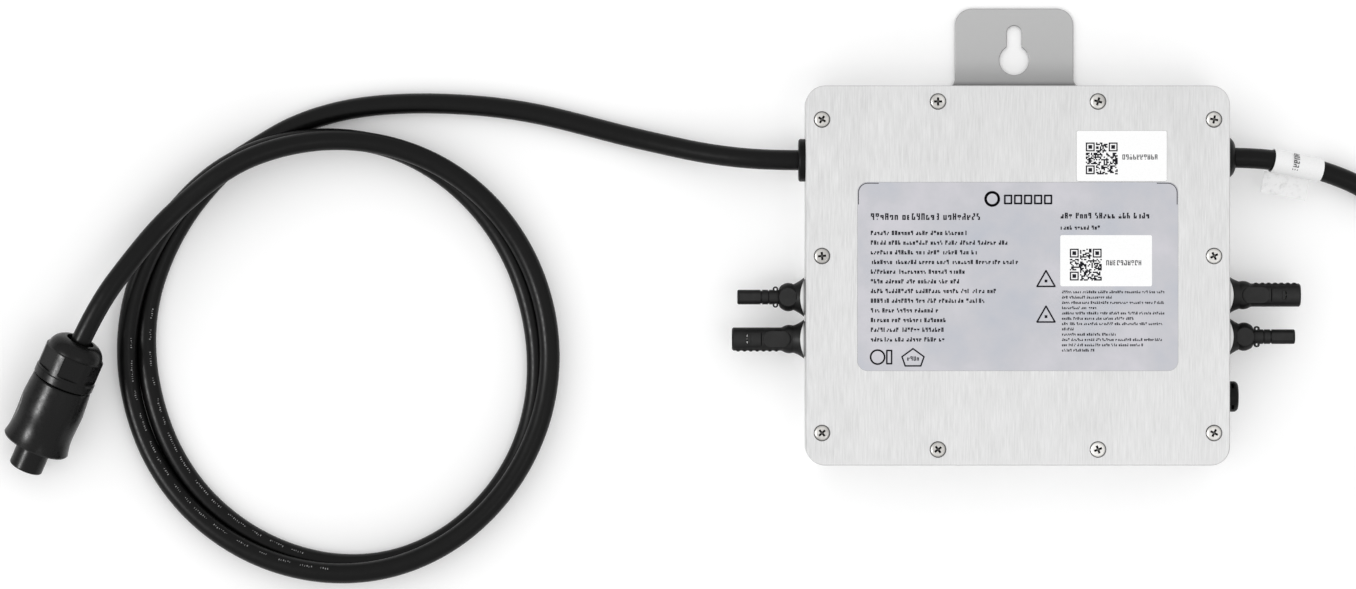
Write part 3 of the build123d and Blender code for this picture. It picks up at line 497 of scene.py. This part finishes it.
def glossy_black(name, base, roughness, grain, specular=0.22, painted_top_light=1.0):
    """Black plastic or rubber. Faces that look up are painted paler by the factor given last, as painted
    top light, with a faint mottle; painted shade darkens the recesses.
    """
    mat = material(name, grey(base), roughness, specular=specular)
    skin = noise(mat, place_on(mat), grain, 4)
    facing = node(mat, "ShaderNodeNewGeometry")
    parts = node(mat, "ShaderNodeSeparateXYZ")
    link(mat, facing.outputs["Normal"], parts.inputs["Vector"])
    both = node(mat, "ShaderNodeMath", operation="MULTIPLY_ADD")
    # Painted top light: the more a face looks up, the paler its colour.
    link(mat, spread(mat, parts.outputs["Z"], 0.7, 0.98, 0, 1), both.inputs[0])
    both.inputs[1].default_value = 0.8
    link(mat, spread(mat, noise(mat, place_on(mat), 260, 4), 0.3, 0.7, 0, 0.2), both.inputs[2])
    color = tint(mat, both.outputs[0], [(0.0, grey(base)), (1.0, grey(painted_top_light * base))])
    # Painted shade in grooves and recesses.
    shade_hollows(mat, 0.0015, grey(0.0008), color)
    roughen(mat, skin, roughness - 0.05, roughness + 0.08)
    bump(mat, skin, 0.00003, 0.25)
    return mat


def matt_plastic(name, color, roughness=0.5):
    """Any other plastic, ceramic or resin, with a fine skin and a faint mottle."""
    mat = material(name, color, roughness, specular=0.4)
    skin = noise(mat, place_on(mat), 1500, 4)
    dark = tuple(0.8 * c for c in color)
    light = tuple(min(1.3 * c, 1) for c in color)
    tint(mat, noise(mat, place_on(mat), 120, 3), [(0.3, dark), (0.7, light)])
    roughen(mat, skin, roughness - 0.08, roughness + 0.1)
    bump(mat, skin, 0.00003, 0.4)
    return mat


def port_seal():
    """Light silicone, painted dark at its foot beside the wall as painted shade."""
    mat = material("seal_grey", grey(0.6), 0.45)
    where = node(mat, "ShaderNodeTexCoord")
    parts = node(mat, "ShaderNodeSeparateXYZ")
    link(mat, where.outputs["Object"], parts.inputs["Vector"])
    out = node(mat, "ShaderNodeMath", operation="ABSOLUTE")
    link(mat, parts.outputs["X"], out.inputs[0])
    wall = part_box("housing")[1].x
    height = spread(mat, out.outputs[0], wall, wall + 0.0022, 0, 1)
    # Painted shade: darkest at the wall, paler away from it.
    tint(mat, height, [(0.15, grey(0.10)), (0.45, grey(0.45)), (0.7, grey(0.75))])
    roughen(mat, noise(mat, place_on(mat), 900, 3), 0.4, 0.55)
    return mat


def metal(name, color, roughness=0.3):
    """Plain bare metal, dull in places."""
    mat = material(name, color, roughness, metallic=1.0)
    worn = noise(mat, place_on(mat), 600, 4)
    dark = tuple(0.8 * c for c in color)
    tint(mat, worn, [(0.3, dark), (0.7, color)])
    roughen(mat, worn, roughness - 0.07, roughness + 0.12)
    return mat


def floor_white():
    """The studio floor. A little light of its own keeps the shadows pale."""
    mat = material("floor_white", grey(0.92), 0.9, specular=0.0)
    soft = noise(mat, place_on(mat), 2, 2)
    tint(mat, soft, [(0.3, grey(0.915)), (0.7, grey(0.925))])
    shader = mat.node_tree.nodes["Principled BSDF"]
    shader.inputs["Emission Color"].default_value = (1, 1, 1, 1)
    shader.inputs["Emission Strength"].default_value = 0.1
    return mat


def paint(mat, *names):
    """Gives the named CAD nodes one material."""
    for name in names:
        data = nodes[name].data
        data.materials.clear()
        data.materials.append(mat)


LID = brushed_lid()
CASE = cast_case()
SHEET = satin_sheet()
SCREW = screw_steel()
FILM = silver_film()
PAPER = white_film("paper_white", 0.93)
SLEEVE_WHITE = white_film("sleeve_white", 0.84)
INK = print_ink("ink_black", (0.008, 0.008, 0.012))
INK_PALE = print_ink("ink_pale", grey(0.22))
TAG = tag_film()
JACKET = glossy_black("cable_jacket", 0.003, 0.34, 420, specular=0.13)
NYLON = glossy_black("moulded_nylon", 0.002, 0.28, 500, specular=0.18)
# The connectors' upward faces are painted six times paler, as painted top light.
CONNECTOR = glossy_black("connector_black", 0.004, 0.42, 1800, specular=0.12, painted_top_light=6.0)
GLAND = glossy_black("gland_black", 0.003, 0.4, 900, specular=0.12)
RUBBER = glossy_black("gasket_rubber", 0.01, 0.6, 900, specular=0.2)
SEAL = port_seal()
TIN = metal("tin", (0.72, 0.71, 0.68))
BRASS = metal("brass", (0.72, 0.56, 0.28))
COPPER = metal("copper", (0.72, 0.38, 0.2))
BOARD = matt_plastic("board_green", (0.02, 0.16, 0.06), 0.35)
FERRITE = matt_plastic("ferrite", grey(0.05), 0.6)
TAPE = matt_plastic("winding_tape", (0.62, 0.45, 0.08), 0.4)
SLEEVE = matt_plastic("capacitor_sleeve", (0.02, 0.03, 0.06), 0.3)
FILM_BOX = matt_plastic("film_box", (0.35, 0.3, 0.2), 0.45)
RELAY = matt_plastic("relay_case", (0.02, 0.05, 0.25), 0.3)
CHIP = matt_plastic("chip_black", grey(0.02), 0.5)
PAD = matt_plastic("pad_grey", grey(0.3), 0.7)
FUSE = matt_plastic("fuse_ceramic", (0.8, 0.78, 0.72), 0.4)
TERMINAL = matt_plastic("terminal_green", (0.02, 0.25, 0.08), 0.4)
WIRE = matt_plastic("wire_red", (0.3, 0.03, 0.02), 0.4)
MEMBRANE = matt_plastic("membrane_white", grey(0.85), 0.7)

floor.data.materials.append(floor_white())
lead.data.materials.append(JACKET)
tail.data.materials.append(JACKET)
paint(LID, "lid")
paint(CASE, "housing")
paint(SHEET, "mounting_bracket")
paint(SCREW, "lid_screws", "bracket_screws", "board_screws")
paint(FILM, "rating_label")
paint(PAPER, "serial_sticker_upper", "serial_sticker_lower")
paint(SLEEVE_WHITE, "cable_marker")
paint(TAG, "marker_tag")
paint(GLAND, "ac_gland_left", "ac_gland_right", "vent_cap", "ac_gland_nuts", "dc_lock_nuts")
paint(NYLON, "lead_plug_nut", "lead_plug_shell", "lead_plug_stub")
paint(NYLON, "tail_plug_nut", "tail_plug_shell", "tail_plug_core")
paint(RUBBER, "lid_gasket", "lead_plug_grommet", "tail_plug_grommet")
paint(CONNECTOR, "dc_nose_left", "dc_nose_right", "dc_socket_left", "dc_socket_right")
paint(CONNECTOR, "latch_left_upper", "latch_left_lower", "latch_right_upper", "latch_right_lower")
paint(SEAL, "dc_seals")
paint(TIN, "dc_socket_pins", "dc_nose_contacts", "lead_plug_contacts", "tail_plug_pins")
paint(MEMBRANE, "vent_membrane")
paint(BOARD, "main_board", "control_board")
paint(FERRITE, "transformer_cores", "choke_core")
paint(TAPE, "transformer_windings")
paint(SLEEVE, "bulk_capacitors")
paint(FILM_BOX, "film_capacitors")
paint(RELAY, "relays")
paint(CASE, "heat_spreader")
paint(CHIP, "power_transistors")
paint(PAD, "thermal_pads")
paint(COPPER, "choke_winding")
paint(FUSE, "fuse")
paint(BRASS, "board_pillars")
paint(TERMINAL, "terminal_blocks")
paint(WIRE, "ac_wires", "dc_wires")


# Printing: thin closed strokes on the labels. Lettering is only suggested by made-up glyphs

# Thickness of the ink, which stands clear of the surface so that it shows
PRINT_T = 0.04


class Print:
    """Collects flat strokes in millimetres. A stroke's corners go through place() into the part's frame."""

    def __init__(self, name, ink, slot, place):
        self.name = name
        self.ink = ink
        self.slot = slot
        self.place = place
        self.points = []
        self.faces = []

    def slab(self, corners):
        """A closed prism on a convex outline, given counterclockwise."""
        first = len(self.points)
        count = len(corners)
        for lift in (0, PRINT_T):
            self.points += [self.place(x, y, lift) for x, y in corners]
        self.faces.append([first + i for i in reversed(range(count))])
        self.faces.append([first + count + i for i in range(count)])
        for i in range(count):
            j = (i + 1) % count
            self.faces.append([first + i, first + j, first + count + j, first + count + i])

    def box(self, x, y, w, h):
        """x and y are its upper left corner, right and down from the label's."""
        self.slab([(x, y + h), (x + w, y + h), (x + w, y), (x, y)])

    def line(self, a, b, width):
        """A straight stroke that runs on by a quarter of its width at both ends."""
        along = Vector((b[0] - a[0], b[1] - a[1])).normalized() * width / 2
        side = Vector((-along.y, along.x))
        start = Vector(a) - along * 0.5
        end = Vector(b) + along * 0.5
        self.slab([tuple(start + side), tuple(end + side), tuple(end - side), tuple(start - side)])

    def path(self, points, width, closed=True):
        """Strokes from point to point, and back to the first if closed."""
        for a, b in zip(points, points[1:] + points[:1] if closed else points[1:]):
            self.line(a, b, width)

    def glyph(self, rng, x, y, h, weight, small=0.6):
        """A made-up sign of five or six of seven bars. A share of the signs, small, are not full height."""
        w = 0.52 * h
        stroke = weight * h
        top = y
        if rng.random() < small:
            top += 0.26 * h
        half = (y + h - top) / 2
        right = x + w - stroke
        bars = [
            (x, top, stroke, half), (right, top, stroke, half),
            (x, top + half, stroke, half), (right, top + half, stroke, half),
            (x + stroke, top, w - 2 * stroke, stroke),
            (x + stroke, top + half - stroke / 2, w - 2 * stroke, stroke),
            (x + stroke, top + 2 * half - stroke, w - 2 * stroke, stroke),
        ]
        for bar in rng.sample(bars, rng.choice([5, 5, 6])):
            self.box(*bar)
        return w + 0.2 * h

    def text(self, rng, x, y, width, h, weight=0.2):
        """A line of made-up words, from x to x + width, with the given height."""
        end = x + width
        while x < end - 0.5 * h:
            for _ in range(rng.randint(3, 9)):
                if x < end - 0.5 * h:
                    x += self.glyph(rng, x, y, h, weight)
            x += 0.45 * h

    def code(self, rng, x, y, size, cells=25):
        """A square of random cells, with a framed square in three corners, clear of them by one cell."""
        cell = size / cells
        frame_cells = 7
        far = cells - frame_cells
        corners = [(0, 0), (far, 0), (0, far)]
        for row in range(cells):
            for column in range(cells):
                framed = any(-1 <= column - cx <= frame_cells and -1 <= row - cy <= frame_cells
                             for cx, cy in corners)
                if not framed and rng.random() < 0.5:
                    self.box(x + column * cell, y + row * cell, 1.1 * cell, 1.1 * cell)
        for cx, cy in corners:
            left = x + cx * cell
            top = y + cy * cell
            for side in (0, frame_cells - 1):
                self.box(left + side * cell, top, cell, frame_cells * cell)
                self.box(left + cell, top + side * cell, (frame_cells - 2) * cell, cell)
            self.box(left + 2 * cell, top + 2 * cell, 3 * cell, 3 * cell)

    def finish(self):
        mesh = bpy.data.meshes.new(self.name)
        mesh.from_pydata(self.points, [], self.faces)
        mesh.materials.append(self.ink)
        made = bpy.data.objects.new(self.name, mesh)
        bpy.context.scene.collection.objects.link(made)
        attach(made, "case")
        return made


def on_top_of(name):
    """Places a point given right and down from a flat node's upper left corner, on its top."""
    low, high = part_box(name)

    def place(x, y, lift):
        return (low.x + x * MM, high.y - y * MM, high.z + lift * MM)
    return place


def circle(x, y, radius, count=28):
    return [(x + radius * math.cos(a), y + radius * math.sin(a))
            for a in (2 * math.pi * i / count for i in range(count))]


# The rating label's layout, in millimetres right and down from its upper left corner
MARK_CENTRE = (67.3, 8.3)
MARK_SQUARES = 5
MARK_PITCH = 5.0
# Headings: left, top, width, height and stroke weight
HEADINGS = (
    (6.6, 15.5, 56.8, 3.3, 0.2),
    (101.5, 15.2, 47.0, 2.9, 0.22),
    (101.5, 21.6, 20.7, 2.1, 0.24),
)
DATA_AT = (6.6, 24.2)
DATA_PITCH = 4.84
DATA_WIDTHS = (48.9, 69.3, 53.3, 73.6, 48.7, 44.1, 64.2, 57.4, 34.6, 37.6, 37.4, 37.6)
SMALL_AT = (102.2, 54.1)
SMALL_PITCH = 2.65
SMALL_WIDTHS = (51.5, 25.3, 51.5, 17.5, 51.5, 36.7, 51.5, 6.1, 28.0, 50.0, 40.5, 17.0)
SIGN_X = 94.2
SIGN_TOPS = (43.75, 61.55)
SIGN_HALF = 4.5


def label_print():
    """The rating label's layout: mark, headings, data lines, small print and signs."""
    ink = Print("label_print", INK, "label_film", on_top_of("rating_label"))
    rng = random.Random(11)
    ink.path(circle(*MARK_CENTRE, 3.3), 1.3)
    for i in range(MARK_SQUARES):
        left = 73.6 + MARK_PITCH * i
        ink.path([(left, 6.6), (left + 3.3, 6.6), (left + 3.3, 10.6), (left, 10.6)], 0.9)
    for left, top, width, height, weight in HEADINGS:
        ink.text(rng, left, top, width, height, weight)
    for i, width in enumerate(DATA_WIDTHS):
        ink.text(rng, DATA_AT[0], DATA_AT[1] + DATA_PITCH * i, width, 2.2, 0.24)
    for i, width in enumerate(SMALL_WIDTHS):
        ink.text(rng, SMALL_AT[0], SMALL_AT[1] + SMALL_PITCH * i, width, 1.4, 0.23)
    ink.path(circle(10.0, 87.4, 3.5), 0.85)
    ink.path([(14.6, 84.1), (17.0, 84.1), (17.0, 90.7), (14.6, 90.7)], 0.8)
    five_sided = [(27.7, 83.2), (33.2, 87.2), (31.6, 91.8), (23.8, 91.8), (22.2, 87.2)]
    ink.path(five_sided, 0.75)
    ink.text(rng, 24.8, 87.0, 6.2, 2.2, 0.2)
    for top in SIGN_TOPS:
        foot = top + 8.3
        ink.path([(SIGN_X, top + 0.4), (SIGN_X + SIGN_HALF, foot), (SIGN_X - SIGN_HALF, foot)], 0.8)
        ink.box(SIGN_X - 0.7, top + 4.9, 1.4, 1.4)
    return ink.finish()


def label_border():
    """A thin dark line round the label's two upper corners."""
    ink = Print("label_border", INK, "label_film", on_top_of("rating_label"))
    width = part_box("rating_label")[1].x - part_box("rating_label")[0].x
    rim = 0.45
    radius = 4.6
    steps = 6
    for flip in (False, True):
        turn = [(rim + radius - radius * math.cos(a), rim + radius - radius * math.sin(a))
                for a in (math.pi / 2 * i / steps for i in range(steps + 1))]
        points = [(rim, 11.0)] + turn + [(10.5, rim)]
        if flip:
            points = [(width / MM - x, y) for x, y in reversed(points)]
        ink.path(points, 0.38, closed=False)
    return ink.finish()


CODE_SIZE = 15.9
NUMBER_HEIGHT = 2.5


def sticker_print(name, node_name, seed, code_at, number_at, number_width):
    """A code square with one row of made-up signs beside it."""
    ink = Print(name, INK, "sticker_white", on_top_of(node_name))
    rng = random.Random(seed)
    ink.code(rng, *code_at, CODE_SIZE)
    x, y = number_at
    last = x + number_width - 1.2
    while x < last:
        x += ink.glyph(rng, x, y, NUMBER_HEIGHT, 0.16, small=0)
    return ink.finish()


label_print()
label_border()
sticker_print("sticker_print_upper", "serial_sticker_upper", 21, (4.6, 5.9), (22.9, 11.9), 18.4)
sticker_print("sticker_print_lower", "serial_sticker_lower", 34, (4.8, 6.8), (23.0, 12.6), 18.7)


# Printing on the cable and on its marker, placed by its distance along the cable's centre line

# The side of the jacket that the printing is on, as an angle from its top
OUTER_SIDE = math.radians(-28)
LETTER_PITCH = 1.15
MARKER_R = 5.95
# From the marker's left end to its row of signs, which starts and ends this far round the sleeve
MARKER_ROW = 11.4
MARKER_ROW_SPAN = (-6.0, 4.6)


def beside(line, distance, angle, radius, across=0.0):
    """The point at distance along the line and radius from it, at angle from its top, and across
    further round. All are in metres."""
    i = 0
    while i < len(line) - 2 and distance > (line[i + 1] - line[i]).length:
        distance -= (line[i + 1] - line[i]).length
        i += 1
    along = (line[i + 1] - line[i]).normalized()
    side = along.cross(Vector((0, 0, 1))).normalized()
    up = side.cross(along)
    turn = angle + across / radius
    out = up * math.cos(turn) + side * math.sin(turn)
    return line[i] + along * distance + out * radius


def cable_print(name, line, start, end, angle, seed):
    """Two rows of tiny pale strokes, as a cable's printed data looks from a distance."""
    def place(x, y, lift):
        return tuple(beside(line, x * MM, angle, (CABLE_R + lift - 0.01) * MM, y * MM))
    ink = Print(name, INK_PALE, "cable_black", place)
    rng = random.Random(seed)
    x = start
    while x < end:
        for _ in range(rng.randint(4, 10)):
            if x < end:
                ink.box(x, rng.choice([-0.5, -0.2]), rng.choice([0.2, 0.45]), rng.choice([0.4, 0.8, 0.8]))
                x += LETTER_PITCH
        x += rng.uniform(2.0, 7.0)
    return ink.finish()


def marker_print():
    """Made-up signs that run across the marker sleeve."""
    marker_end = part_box("cable_marker")[0].x
    start = min(range(len(tail_line)), key=lambda i: abs(tail_line[i].x - marker_end))
    row = line_length(tail_line[:start + 1]) / MM + MARKER_ROW

    def place(x, y, lift):
        return tuple(beside(tail_line, (row + y) * MM, 0, (MARKER_R + lift) * MM, x * MM))
    ink = Print("marker_print", INK, "marker_white", place)
    rng = random.Random(5)
    x, last = MARKER_ROW_SPAN
    while x < last:
        x += ink.glyph(rng, x, 0, 2.9, 0.13, small=0)
    return ink.finish()


cable_print("lead_print_inner", lead_line, 395, 560, OUTER_SIDE, 3)
cable_print("lead_print_outer", lead_line, 1065, 1240, OUTER_SIDE, 4)
marker_print()

bpy.context.view_layer.update()
